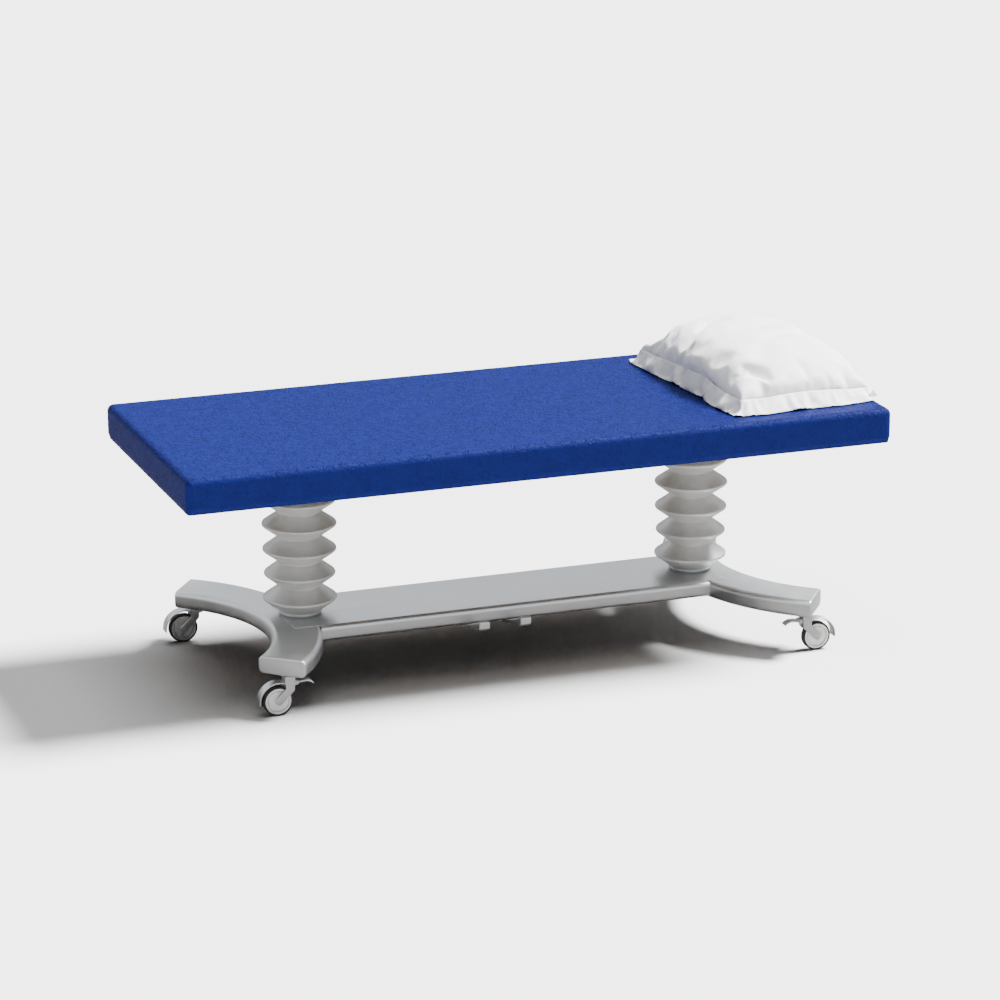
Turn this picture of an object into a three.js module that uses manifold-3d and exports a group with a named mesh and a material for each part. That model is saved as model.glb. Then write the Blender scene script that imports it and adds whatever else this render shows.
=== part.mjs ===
// Height-adjustable examination table: a padded top on two telescopic columns with bellows,
// a flat base beam between two bowed legs, four braked casters and two pump pedals.
// Millimetres, +X towards the pillow (head) end, -Y towards the pedals, +Z up, z = 0 the floor.
import * as THREE from 'three';
import { mergeVertices } from 'three/addons/utils/BufferGeometryUtils.js';
import Module from 'manifold-3d';

const wasm = await Module();
wasm.setup();

// ---------------------------------------------------------------- driving dimensions
const GAP = 0.3;

const PAD_LENGTH = 1900;
const PAD_WIDTH = 758;
const PAD_BOTTOM = 564;
const PAD_TOP = 656;
const PAD_EDGE_RADIUS = 17;
const COVER_THICKNESS = 2.5;
const COVER_RETURN = 25;
const BOARD_THICKNESS = 12;

const RAIL_LENGTH = 1700;
const RAIL_Y = 220;
const RAIL_WIDTH = 30;
const RAIL_WALL = 2.5;
const FRAME_BOTTOM = 529;
const FRAME_TOP = PAD_BOTTOM - GAP;
const CHANNEL_WIDTH = 120;

const COLUMN_X = 546;
const OUTER_TUBE = { inner: 43.2, outer: 47, bottom: 155.3, top: 395 };
const MIDDLE_TUBE = { inner: 39, outer: 42.6, bottom: 235, top: 465 };
const INNER_TUBE = { inner: 34.6, outer: 38.4, bottom: 300, top: FRAME_BOTTOM - GAP };

const FOLD_RADIUS = 97;
const NECK_RADIUS = 54.5;
const BELLOWS_WALL = 2.5;
const BELLOWS_BOTTOM = 166;
const BELLOWS_TOP = 495;
const FOLDS = 5;

const BEAM_HALF_WIDTH = 134.5;
const BEAM_BOTTOM = 114;
const BEAM_TOP = 155;
const BEAM_EDGE_RADIUS = 15;
const BEAM_WALL = 6;
const TONGUE_END_X = 600;
const TONGUE_HALF_WIDTH = 119.5;
const TONGUE_BOTTOM = 149.3;

// Each leg is drawn square to the table with its casters at x = STEM_X, then turned a little about
// the middle between its casters and brought to LEG_MIDDLE_X.
const LEG_TURN = THREE.MathUtils.degToRad(5.8);
const LEG_MIDDLE_X = 711;
const LEG_CENTRE_X = 1052;
const LEG_INNER_RADIUS = 385;
const LEG_OUTER_RADIUS = 515;
const LEG_HALF_ANGLE = 47.5;
const LEG_BOTTOM = 107;
const LEG_TOP = 154;
const LEG_EDGE_RADIUS = 15;
const LEG_WALL = 10;

const STEM_X = 725;
const STEM_Y = 320;
const TRAIL = 29.5;
const WHEEL_RADIUS = 38.7;
const RIM_RADIUS = 33.7;
const WHEEL_HALF_WIDTH = 10;
const AXLE_RADIUS = 4;

const PEDAL_AXIS = { y: -40, z: 98 };
const PEDAL_WIDTH = 30;
const RAISE_PEDAL_X = -125.5;
const LOWER_PEDAL_X = -12.5;

const PILLOW = { x: 722, y: 6, halfLength: 300, halfWidth: 208, height: 132, turn: 4.5 };

// ---------------------------------------------------------------- materials
const FINISHES = {
  vinyl: { color: 0x1f3f9c, roughness: 0.5, metalness: 0.0 },
  foam: { color: 0xe6dfb8, roughness: 0.95, metalness: 0.0 },
  plywood: { color: 0xc39a66, roughness: 0.75, metalness: 0.0 },
  pillowcase: { color: 0xf0f0f0, roughness: 0.9, metalness: 0.0 },
  silver: { color: 0xb4b7b9, roughness: 0.4, metalness: 0.8 },
  bellows: { color: 0x9c9b97, roughness: 0.45, metalness: 0.7 },
  steel: { color: 0x8d9094, roughness: 0.35, metalness: 0.9 },
  chrome: { color: 0xd8dadc, roughness: 0.15, metalness: 1.0 },
  rim: { color: 0xbdbdbb, roughness: 0.5, metalness: 0.1 },
  tyre: { color: 0x1d1d1f, roughness: 0.8, metalness: 0.0 },
};

const part = new THREE.Group();
part.name = 'exam_table';

function addPart(name, geometry, finish) {
  const mesh = new THREE.Mesh(outward(geometry), new THREE.MeshStandardMaterial(FINISHES[finish]));
  mesh.name = name;
  part.add(mesh);
}

// ---------------------------------------------------------------- geometry helpers
function geometryFrom(points, triangles) {
  const geometry = new THREE.BufferGeometry();
  geometry.setAttribute('position', new THREE.Float32BufferAttribute(points.flat(), 3));
  geometry.setIndex(triangles.flat());
  return geometry;
}

function plain(geometry) {
  const copy = geometry.clone();
  copy.deleteAttribute('normal');
  copy.deleteAttribute('uv');
  return mergeVertices(copy, 1e-3);
}

// Turns every face outward by the sign of the enclosed volume.
function outward(geometry) {
  const solid = plain(geometry);
  const p = solid.getAttribute('position');
  const index = Array.from(solid.index.array);
  const a = new THREE.Vector3();
  const b = new THREE.Vector3();
  const c = new THREE.Vector3();
  let volume = 0;
  for (let i = 0; i < index.length; i += 3) {
    a.fromBufferAttribute(p, index[i]);
    b.fromBufferAttribute(p, index[i + 1]);
    c.fromBufferAttribute(p, index[i + 2]);
    volume += a.dot(b.cross(c));
  }
  if (volume < 0) {
    for (let i = 0; i < index.length; i += 3) {
      [index[i + 1], index[i + 2]] = [index[i + 2], index[i + 1]];
    }
    solid.setIndex(index);
  }
  solid.computeVertexNormals();
  return solid;
}

function toManifold(geometry) {
  const solid = outward(geometry);
  return new wasm.Manifold(new wasm.Mesh({
    numProp: 3,
    vertProperties: new Float32Array(solid.getAttribute('position').array),
    triVerts: new Uint32Array(solid.index.array),
  }));
}

function fromManifold(manifold) {
  const mesh = manifold.getMesh();
  const geometry = new THREE.BufferGeometry();
  geometry.setAttribute('position', new THREE.BufferAttribute(new Float32Array(mesh.vertProperties), 3));
  geometry.setIndex(Array.from(mesh.triVerts));
  return geometry;
}

function union(...geometries) {
  return fromManifold(geometries.map(toManifold).reduce((sum, next) => sum.add(next)));
}

function subtract(base, ...tools) {
  return fromManifold(tools.map(toManifold).reduce((left, tool) => left.subtract(tool), toManifold(base)));
}

// A solid through equal loops of points, closed by a fan at each end.
function ringSolid(rings) {
  const count = rings[0].length;
  const triangles = [];
  for (let r = 0; r + 1 < rings.length; r++) {
    for (let i = 0; i < count; i++) {
      const here = r * count + i;
      const next = r * count + ((i + 1) % count);
      triangles.push([here, next, next + count], [here, next + count, here + count]);
    }
  }
  const last = (rings.length - 1) * count;
  for (let i = 1; i + 1 < count; i++) {
    triangles.push([0, i + 1, i], [last, last + i, last + i + 1]);
  }
  return geometryFrom(rings.flat(), triangles);
}

// Revolves (radius, height) points about the vertical line through (x, y). A profile that starts
// and ends on the axis is a solid of revolution; any other is closed on itself into a ring.
function revolve(profile, x = 0, y = 0, segments = 24) {
  const solid = profile[0][0] === 0;
  const points = [];
  const starts = profile.map(([radius, z]) => {
    const start = points.length;
    const steps = radius === 0 ? 1 : segments;
    for (let i = 0; i < steps; i++) {
      const angle = (2 * Math.PI * i) / segments;
      points.push([x + radius * Math.cos(angle), y + radius * Math.sin(angle), z]);
    }
    return { start, steps };
  });
  const triangles = [];
  const spans = solid ? profile.length - 1 : profile.length;
  for (let k = 0; k < spans; k++) {
    const low = starts[k];
    const high = starts[(k + 1) % profile.length];
    for (let i = 0; i < segments; i++) {
      const a = low.start + (i % low.steps);
      const b = low.start + ((i + 1) % low.steps);
      const c = high.start + (i % high.steps);
      const d = high.start + ((i + 1) % high.steps);
      if (low.steps > 1) triangles.push([a, b, d]);
      if (high.steps > 1) triangles.push([a, d, c]);
    }
  }
  return geometryFrom(points, triangles);
}

function tube({ inner, outer, bottom, top }, x, y = 0, segments = 20) {
  return revolve([[inner, bottom], [outer, bottom], [outer, top], [inner, top]], x, y, segments);
}

function cylinder(radius, bottom, top, x = 0, y = 0, segments = 24) {
  return revolve([[0, bottom], [radius, bottom], [radius, top], [0, top]], x, y, segments);
}

// Corner points of a rectangle with rounded corners, counter-clockwise.
function roundedLoop(halfA, halfB, radius, steps = 4, centreA = 0, centreB = 0) {
  const loop = [];
  const corners = [[1, 1], [-1, 1], [-1, -1], [1, -1]];
  corners.forEach(([signA, signB], k) => {
    for (let i = 0; i <= steps; i++) {
      const angle = (Math.PI / 2) * (k + i / steps);
      loop.push([
        centreA + signA * (halfA - radius) + radius * Math.cos(angle),
        centreB + signB * (halfB - radius) + radius * Math.sin(angle),
      ]);
    }
  });
  return loop;
}

function shapeOf(loop, holes = []) {
  const shape = new THREE.Shape(loop.map(([a, b]) => new THREE.Vector2(a, b)));
  shape.holes = holes.map((hole) => new THREE.Path(hole.map(([a, b]) => new THREE.Vector2(a, b))));
  return shape;
}

function prism(shape, from, to) {
  const geometry = new THREE.ExtrudeGeometry(shape, { depth: to - from, bevelEnabled: false });
  return geometry.translate(0, 0, from);
}

// Prisms along X (profile in Y, Z), along Y (profile in X, Z) and along Z (profile in X, Y).
function prismX(loop, from, to, holes) {
  const turn = new THREE.Matrix4().set(0, 0, 1, 0, 1, 0, 0, 0, 0, 1, 0, 0, 0, 0, 0, 1);
  return prism(shapeOf(loop, holes), from, to).applyMatrix4(turn);
}

function prismY(loop, from, to, holes) {
  const turn = new THREE.Matrix4().set(1, 0, 0, 0, 0, 0, 1, 0, 0, 1, 0, 0, 0, 0, 0, 1);
  return prism(shapeOf(loop, holes), from, to).applyMatrix4(turn);
}

function prismZ(loop, from, to, holes) {
  return prism(shapeOf(loop, holes), from, to);
}

function box(x0, x1, y0, y1, z0, z1) {
  return new THREE.BoxGeometry(x1 - x0, y1 - y0, z1 - z0)
    .translate((x0 + x1) / 2, (y0 + y1) / 2, (z0 + z1) / 2);
}

function circleLoop(radius, centreA, centreB, segments = 24) {
  return Array.from({ length: segments }, (_, i) => {
    const angle = (2 * Math.PI * i) / segments;
    return [centreA + radius * Math.cos(angle), centreB + radius * Math.sin(angle)];
  });
}

// A horizontal slab with all its edges rounded.
function roundedSlab(halfLength, halfWidth, bottom, top, radius, steps = 4) {
  const rings = [];
  for (let i = 0; i <= steps; i++) {
    const angle = (Math.PI / 2) * (i / steps);
    rings.push({ inset: radius * (1 - Math.sin(angle)), z: bottom + radius * (1 - Math.cos(angle)) });
  }
  for (let i = steps; i >= 0; i--) {
    const angle = (Math.PI / 2) * (i / steps);
    rings.push({ inset: radius * (1 - Math.sin(angle)), z: top - radius * (1 - Math.cos(angle)) });
  }
  return ringSolid(rings.map(({ inset, z }) =>
    roundedLoop(halfLength - inset, halfWidth - inset, radius * 1.2 - inset, steps)
      .map(([x, y]) => [x, y, z])));
}

// ---------------------------------------------------------------- padded top
function buildPad() {
  const halfLength = PAD_LENGTH / 2;
  const halfWidth = PAD_WIDTH / 2;
  const slabInside = (inset) => roundedSlab(
    halfLength - inset, halfWidth - inset, PAD_BOTTOM + inset, PAD_TOP - inset, PAD_EDGE_RADIUS - inset, 3);
  const pocket = (inset, top) => box(
    -halfLength + inset, halfLength - inset, -halfWidth + inset, halfWidth - inset, PAD_BOTTOM - 5, top);

  const boardTop = PAD_BOTTOM + BOARD_THICKNESS;
  addPart('pad_cover', subtract(
    slabInside(0), slabInside(COVER_THICKNESS), pocket(COVER_RETURN, PAD_BOTTOM + 6)), 'vinyl');
  addPart('pad_foam', subtract(
    slabInside(COVER_THICKNESS + GAP), pocket(COVER_RETURN, boardTop + GAP)), 'foam');
  addPart('pad_board', box(
    -halfLength + COVER_RETURN + GAP, halfLength - COVER_RETURN - GAP,
    -halfWidth + COVER_RETURN + GAP, halfWidth - COVER_RETURN - GAP, PAD_BOTTOM, boardTop), 'plywood');
}

// A plump pillow: flat underneath, crowned above, thin at its corners.
function buildPillow() {
  const levels = [
    [0, 0.86], [0.08, 0.97], [0.2, 1], [0.4, 0.95], [0.6, 0.85], [0.78, 0.7], [0.92, 0.48], [1, 0.22],
  ];
  const turn = THREE.MathUtils.degToRad(PILLOW.turn);
  const bottom = PAD_TOP + GAP;
  const rings = levels.map(([level, scale]) =>
    roundedLoop(PILLOW.halfWidth * scale, PILLOW.halfLength * scale, 60 * scale, 2).map(([a, b]) => [
      PILLOW.x + a * Math.cos(turn) - b * Math.sin(turn),
      PILLOW.y + a * Math.sin(turn) + b * Math.cos(turn),
      bottom + PILLOW.height * level,
    ]));
  addPart('pillow', ringSolid(rings), 'pillowcase');
}

// ---------------------------------------------------------------- frame under the top
function buildTopFrame() {
  const height = FRAME_TOP - FRAME_BOTTOM;
  const middle = (FRAME_TOP + FRAME_BOTTOM) / 2;
  const outline = (y) => roundedLoop(RAIL_WIDTH / 2, height / 2, 3, 2, y, middle);
  const bore = (y) => roundedLoop(RAIL_WIDTH / 2 - RAIL_WALL, height / 2 - RAIL_WALL, 1, 2, y, middle);
  for (const [side, y] of [['near', -RAIL_Y], ['far', RAIL_Y]]) {
    addPart(`frame_rail_${side}`, prismX(outline(y), -RAIL_LENGTH / 2, RAIL_LENGTH / 2, [bore(y)]), 'steel');
  }

  const halfWidth = CHANNEL_WIDTH / 2;
  const end = RAIL_Y - RAIL_WIDTH / 2 - GAP;
  for (const [endName, x] of [['foot', -COLUMN_X], ['head', COLUMN_X]]) {
    const channel = [
      [x - halfWidth, FRAME_BOTTOM], [x + halfWidth, FRAME_BOTTOM],
      [x + halfWidth, FRAME_TOP], [x + halfWidth - 4, FRAME_TOP],
      [x + halfWidth - 4, FRAME_BOTTOM + 5], [x - halfWidth + 4, FRAME_BOTTOM + 5],
      [x - halfWidth + 4, FRAME_TOP], [x - halfWidth, FRAME_TOP],
    ];
    addPart(`cross_channel_${endName}`, prismY(channel, -end, end), 'steel');
  }
}

// ---------------------------------------------------------------- columns
function bellowsProfile() {
  const pitch = (BELLOWS_TOP - BELLOWS_BOTTOM) / FOLDS;
  const outside = [[NECK_RADIUS + 2, BELLOWS_BOTTOM - 6]];
  for (let fold = 0; fold < FOLDS; fold++) {
    const low = BELLOWS_BOTTOM + fold * pitch;
    const tip = low + pitch / 2;
    outside.push([fold === 0 ? NECK_RADIUS + 2 : NECK_RADIUS, low]);
    outside.push([FOLD_RADIUS - 2.5, tip - 4.5], [FOLD_RADIUS, tip], [FOLD_RADIUS - 2.5, tip + 4.5]);
  }
  outside.push([NECK_RADIUS + 2, BELLOWS_TOP], [NECK_RADIUS + 2, BELLOWS_TOP + 6]);
  const inside = outside.map(([radius, z]) => [radius - BELLOWS_WALL, z]).reverse();
  return [...outside, ...inside];
}

function buildColumn(end, x) {
  addPart(`outer_tube_${end}`, tube(OUTER_TUBE, x), 'steel');
  addPart(`middle_tube_${end}`, tube(MIDDLE_TUBE, x), 'chrome');
  addPart(`inner_tube_${end}`, tube(INNER_TUBE, x), 'chrome');

  const seatBottom = OUTER_TUBE.bottom;
  addPart(`bellows_seat_${end}`, tube(
    { inner: OUTER_TUBE.outer + GAP, outer: 53.4, bottom: seatBottom, top: BELLOWS_BOTTOM + 1 }, x), 'steel');
  addPart(`bellows_hanger_${end}`, tube(
    { inner: 48.6, outer: 53.4, bottom: BELLOWS_TOP - 1, top: FRAME_BOTTOM - GAP }, x), 'steel');
  addPart(`bellows_${end}`, revolve(bellowsProfile(), x, 0, 20), 'bellows');

  addPart(`ram_cylinder_${end}`, revolve([
    [0, 158], [20, 158], [20, 420], [8.8, 420], [8.8, 408], [16.2, 408], [16.2, 166], [0, 166],
  ], x, 0, 20), 'steel');
  addPart(`ram_rod_${end}`, revolve([
    [0, 250], [15.6, 250], [15.6, 264], [8, 264], [8, FRAME_BOTTOM - GAP], [0, FRAME_BOTTOM - GAP],
  ], x, 0, 20), 'chrome');
}

// ---------------------------------------------------------------- base
// Where a point of the square leg lands on the turned leg of one side.
function legPlace(side, x, y) {
  const outward = side * (x - STEM_X);
  return [
    side * LEG_MIDDLE_X + outward * Math.cos(LEG_TURN) - y * Math.sin(LEG_TURN),
    outward * Math.sin(LEG_TURN) + y * Math.cos(LEG_TURN),
  ];
}

// A wedge of a disc about a leg's centre, used to trim what meets the leg.
function legWedge(side, radius, halfAngle, bottom, top) {
  const loop = [legPlace(side, LEG_CENTRE_X, 0)];
  const steps = 24;
  for (let i = 0; i <= steps; i++) {
    const angle = THREE.MathUtils.degToRad(halfAngle * ((2 * i) / steps - 1));
    loop.push(legPlace(side, LEG_CENTRE_X - radius * Math.cos(angle), radius * Math.sin(angle)));
  }
  return prismZ(loop, bottom, top);
}

function buildBeam() {
  const middle = (BEAM_TOP + BEAM_BOTTOM) / 2;
  const halfHeight = (BEAM_TOP - BEAM_BOTTOM) / 2;
  const outline = roundedLoop(BEAM_HALF_WIDTH, halfHeight, BEAM_EDGE_RADIUS, 5, 0, middle);
  const cellHalfWidth = 40.5;
  const cells = [-86.5, 0, 86.5].map((y) =>
    roundedLoop(cellHalfWidth, halfHeight - BEAM_WALL, 5, 2, y, middle));
  const extrusion = prismX(outline, -TONGUE_END_X, TONGUE_END_X, cells);

  const trims = [];
  for (const side of [-1, 1]) {
    trims.push(legWedge(side, LEG_OUTER_RADIUS + GAP, 25, BEAM_BOTTOM - 10, TONGUE_BOTTOM));
    trims.push(subtract(
      legWedge(side, LEG_OUTER_RADIUS + GAP, 25, TONGUE_BOTTOM - 1, BEAM_TOP + 5),
      box(-TONGUE_END_X - 10, TONGUE_END_X + 10, -TONGUE_HALF_WIDTH, TONGUE_HALF_WIDTH, 140, 170)));
    trims.push(cylinder(4.5, 140, 170, side * 556, 9, 12));
  }
  addPart('base_beam', subtract(extrusion, ...trims), 'silver');
}

function legSweep(side, profile, fromAngle, toAngle, steps) {
  const rings = [];
  for (let i = 0; i <= steps; i++) {
    const angle = THREE.MathUtils.degToRad(fromAngle + ((toAngle - fromAngle) * i) / steps);
    rings.push(profile.map(([radius, z]) => [
      ...legPlace(side, LEG_CENTRE_X - radius * Math.cos(angle), radius * Math.sin(angle)), z,
    ]));
  }
  return ringSolid(rings);
}

// A cast leg: an arc band with rounded long edges, four open pockets underneath, a bored boss at
// each tip for a caster and a recess on top for the beam's tongue.
function buildLeg(end, side) {
  const meanRadius = (LEG_INNER_RADIUS + LEG_OUTER_RADIUS) / 2;
  const halfWidth = (LEG_OUTER_RADIUS - LEG_INNER_RADIUS) / 2;
  const band = roundedLoop(
    halfWidth, (LEG_TOP - LEG_BOTTOM) / 2, LEG_EDGE_RADIUS, 3, meanRadius, (LEG_TOP + LEG_BOTTOM) / 2);
  const body = legSweep(side, band, -LEG_HALF_ANGLE, LEG_HALF_ANGLE, 24);

  const pocket = roundedLoop(halfWidth - LEG_WALL, 20, 2, 1, meanRadius, 122);
  const cuts = [[-37, -20], [-19, -3.5], [-2.5, 19], [20, 37]].map(([from, to]) =>
    legSweep(side, pocket, from, to, 5));
  for (const y of [-STEM_Y, STEM_Y]) {
    cuts.push(cylinder(12 + GAP, LEG_BOTTOM - 10, 141, ...legPlace(side, STEM_X, y)));
  }
  const innerEdge = TONGUE_END_X + GAP;
  const halfRecess = TONGUE_HALF_WIDTH + GAP;
  cuts.push(box(
    Math.min(side * 500, side * innerEdge), Math.max(side * 500, side * innerEdge),
    -halfRecess, halfRecess, TONGUE_BOTTOM - GAP, 170));
  cuts.push(cylinder(4.5, 130, 170, side * 556, 9, 12));
  addPart(`leg_${end}`, subtract(body, ...cuts), 'silver');
}

// ---------------------------------------------------------------- pump and pedals
function pipe(route, radius, y) {
  const rings = route.map(([x, z], i) => {
    const before = route[Math.max(i - 1, 0)];
    const after = route[Math.min(i + 1, route.length - 1)];
    const run = Math.hypot(after[0] - before[0], after[1] - before[1]);
    const normal = [-(after[1] - before[1]) / run, (after[0] - before[0]) / run];
    return circleLoop(radius, 0, 0, 10).map(([a, b]) => [x + normal[0] * a, y + b, z + normal[1] * a]);
  });
  return ringSolid(rings);
}

function buildPump() {
  const middle = 94;
  const body = prismX(roundedLoop(30, 19.7, 8, 3, 22, middle), -150, 20);
  addPart('pump_unit', body, 'steel');
  for (const [end, side, start] of [['foot', -1, 150 + GAP], ['head', 1, 20 + GAP]]) {
    const bend = [0, 30, 60, 90].map((degrees) => {
      const angle = THREE.MathUtils.degToRad(degrees);
      return [side * (544 + 12 * Math.sin(angle)), 114 - 12 * Math.cos(angle)];
    });
    addPart(`oil_pipe_${end}`, pipe([[side * start, 102], ...bend, [side * 556, 157.7]], 3, 9), 'chrome');
  }
}

function buildPedalMount() {
  const { y, z } = PEDAL_AXIS;
  const plate = box(-170, 32, y - 18, y + 18, 110.7, BEAM_BOTTOM - GAP);
  const ear = (x) => prismX([
    [y - 12, 111], [y - 9, z - 8], [y + 9, z - 8], [y + 12, 111],
  ], x - 2.5, x + 2.5);
  const bore = prismX(circleLoop(5 + GAP, y, z, 16), -200, 60);
  addPart('pedal_bracket', subtract(
    union(plate, ear(-155), ear(-69), ear(17)), bore), 'steel');
  addPart('pedal_rod', prismX(circleLoop(5, y, z, 16), -164, 26), 'chrome');
}

// A bent foot lever: a bored hub under the beam and a toe that curves up in front of it.
function buildPedal(name, x) {
  const { y, z } = PEDAL_AXIS;
  const profile = [
    [y + 10, z - 4], [y + 10, z + 4], [y + 4, z + 10], [y - 12, z + 11], [-118, 109.4], [-135, 116.5],
    [-160, 125], [-185, 134], [-212, 144.5], [-234, 155], [-239, 154.5], [-242, 149], [-242, 138],
    [-239, 132.5], [-225, 126.5], [-200, 121.5], [-170, 118.5], [-150, 113.5], [-131, 105], [-120, 102.4],
    [y - 16, 102], [y - 6, z - 10], [y + 4, z - 10],
  ];
  const hub = circleLoop(5.12, y, z, 16);
  addPart(name, prismX(profile, x - PEDAL_WIDTH / 2, x + PEDAL_WIDTH / 2, [hub]), 'silver');
}

// ---------------------------------------------------------------- casters
// A caster is drawn about its swivel line with its wheel trailing towards +X, then placed.
function place(geometry, side, y) {
  return geometry.clone().scale(side, 1, 1).translate(...legPlace(side, STEM_X, y), 0);
}

function forkGeometry() {
  const pin = cylinder(7.85, 100, 138, 0, 0, 16);
  const stem = cylinder(14, 82, 104.2, 0, 0, 16);
  const crown = prismY([[-13, 78], [16, 78], [16, 88], [10, 92], [-13, 92]], -15.5, 15.5);

  const fender = [];
  const steps = 9;
  for (const radius of [51, 47.5]) {
    for (let i = 0; i <= steps; i++) {
      const angle = THREE.MathUtils.degToRad(125 * (radius > 50 ? i : steps - i) / steps);
      fender.push([TRAIL + radius * Math.cos(angle), WHEEL_RADIUS + radius * Math.sin(angle)]);
    }
  }
  const arm = [];
  const along = Math.atan2(WHEEL_RADIUS - 84, TRAIL);
  for (let i = 0; i <= 8; i++) {
    const angle = along - Math.PI / 2 + (Math.PI * i) / 8;
    arm.push([TRAIL + 10.5 * Math.cos(angle), WHEEL_RADIUS + 10.5 * Math.sin(angle)]);
  }
  arm.push([10.5 * Math.cos(along + Math.PI / 2), 84 + 10.5 * Math.sin(along + Math.PI / 2)]);
  arm.push([10.5 * Math.cos(along - Math.PI / 2), 84 + 10.5 * Math.sin(along - Math.PI / 2)]);

  const ear = [[-12, 78], [-12, 90], [-20, 89], [-25, 86], [-25, 82], [-20, 79]];
  const body = union(
    pin, stem, crown, prismY(fender, -15, 15), prismY(arm, -15.5, -11.8), prismY(arm, 11.8, 15.5),
    prismY(ear, -11.5, -8.5), prismY(ear, 8.5, 11.5), prismY(circleLoop(2.5, -20, 84, 12), -11, 11));
  return subtract(body, prismY(circleLoop(AXLE_RADIUS + GAP, TRAIL, WHEEL_RADIUS, 20), -20, 20));
}

// Revolves (radius, width) points about the wheel's own axle line, with a flat facet downwards.
function wheelRevolve(profile, segments) {
  return revolve(profile, 0, 0, segments)
    .rotateZ(Math.PI / segments).rotateX(Math.PI / 2).translate(TRAIL, 0, WHEEL_RADIUS);
}

function axleGeometry() {
  return wheelRevolve([
    [0, -18], [6.5, -18], [6.5, -15.8], [AXLE_RADIUS, -15.8],
    [AXLE_RADIUS, 15.8], [6.5, 15.8], [6.5, 18], [0, 18],
  ], 16);
}

function rimGeometry() {
  const bore = 4.12;
  return wheelRevolve([
    [bore, -11], [9, -11], [11, -9], [28.5, -9], [RIM_RADIUS, -8.5],
    [RIM_RADIUS, 8.5], [28.5, 9], [11, 9], [9, 11], [bore, 11],
  ], 16);
}

function tyreGeometry() {
  const w = WHEEL_HALF_WIDTH;
  const segments = 28;
  const tread = WHEEL_RADIUS / Math.cos(Math.PI / segments);
  return wheelRevolve([
    [RIM_RADIUS + GAP, -w + 1], [tread - 2.5, -w], [tread, -w + 4],
    [tread, w - 4], [tread - 2.5, w], [RIM_RADIUS + GAP, w - 1],
  ], segments);
}

function brakeGeometry() {
  const hub = prismY(circleLoop(5.5, -20, 84, 12), -8, 8);
  const blade = [
    [-20, 82.5], [-20, 87], [-44, 88.5], [-52, 87.5], [-60, 83.5], [-64, 78.5], [-61.5, 77],
    [-57, 81], [-50, 84.4], [-42, 85.2],
  ];
  const neck = prismY([[-20, 82.5], [-20, 87], [-30, 87.6], [-30, 83.4]], -8, 8);
  const tread = subtract(prismY(blade, -11, 11), box(-27, -10, -20, 20, 70, 100));
  return subtract(union(hub, neck, tread), prismY(circleLoop(2.62, -20, 84, 12), -20, 20));
}

function buildCasters() {
  const fork = forkGeometry();
  const axle = axleGeometry();
  const rim = rimGeometry();
  const tyre = tyreGeometry();
  const brake = brakeGeometry();
  const socket = revolve([
    [8.06, 104.5], [15, 104.5], [15, 106.7], [12, 106.7], [12, 140.7], [8.06, 140.7],
  ], 0, 0, 16);
  for (const [end, side] of [['foot', -1], ['head', 1]]) {
    for (const [row, y] of [['near', -STEM_Y], ['far', STEM_Y]]) {
      const name = `caster_${end}_${row}`;
      addPart(`${name}_socket`, place(socket, side, y), 'steel');
      addPart(`${name}_fork`, place(fork, side, y), 'silver');
      addPart(`${name}_axle`, place(axle, side, y), 'chrome');
      addPart(`${name}_rim`, place(rim, side, y), 'rim');
      addPart(`${name}_tyre`, place(tyre, side, y), 'tyre');
      addPart(`${name}_brake`, place(brake, side, y), 'silver');
    }
  }
}

buildPad();
buildPillow();
buildTopFrame();
for (const [end, side] of [['foot', -1], ['head', 1]]) {
  buildColumn(end, side * COLUMN_X);
  buildLeg(end, side);
}
buildBeam();
buildPump();
buildPedalMount();
buildPedal('raise_pedal', RAISE_PEDAL_X);
buildPedal('lower_pedal', LOWER_PEDAL_X);
buildCasters();

export default part;
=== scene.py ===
# Looks of the height-adjustable examination table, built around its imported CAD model.
# Metres, in the CAD's frame: +X towards the pillow end, -Y towards the pedals, +Z up.
import math

import bmesh
import bpy
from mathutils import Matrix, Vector, noise


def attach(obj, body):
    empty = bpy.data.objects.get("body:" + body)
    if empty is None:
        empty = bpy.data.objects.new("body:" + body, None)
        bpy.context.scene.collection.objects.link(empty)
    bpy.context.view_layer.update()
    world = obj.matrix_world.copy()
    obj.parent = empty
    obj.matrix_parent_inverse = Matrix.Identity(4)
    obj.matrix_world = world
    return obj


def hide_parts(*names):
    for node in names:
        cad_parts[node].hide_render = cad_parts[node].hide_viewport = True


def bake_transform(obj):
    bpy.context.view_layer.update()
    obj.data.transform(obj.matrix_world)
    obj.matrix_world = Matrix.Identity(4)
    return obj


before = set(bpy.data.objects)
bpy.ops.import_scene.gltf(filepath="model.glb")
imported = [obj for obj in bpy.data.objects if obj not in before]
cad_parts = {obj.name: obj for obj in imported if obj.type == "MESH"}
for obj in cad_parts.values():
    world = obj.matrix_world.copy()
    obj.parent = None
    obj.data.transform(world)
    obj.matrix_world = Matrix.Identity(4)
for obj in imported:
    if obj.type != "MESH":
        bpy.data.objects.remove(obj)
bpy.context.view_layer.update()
scene = bpy.context.scene

MM = 0.001
CLEARANCE = 0.0003              # left between two pieces that are cut to fit each other
ENDS = (("foot", -1), ("head", 1))
ROWS = (("near", -1), ("far", 1))

# ------------------------------------------------------------------ camera, floor and light
CAMERA_PLACE = (-3.4823, -9.4529, 3.4485)
CAMERA_YAW = 0.353408
CAMERA_PITCH = 0.293820
CAMERA_LENS = 144.902
CAMERA_REACH = 300
WORLD_GLOW = 0.008
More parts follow.
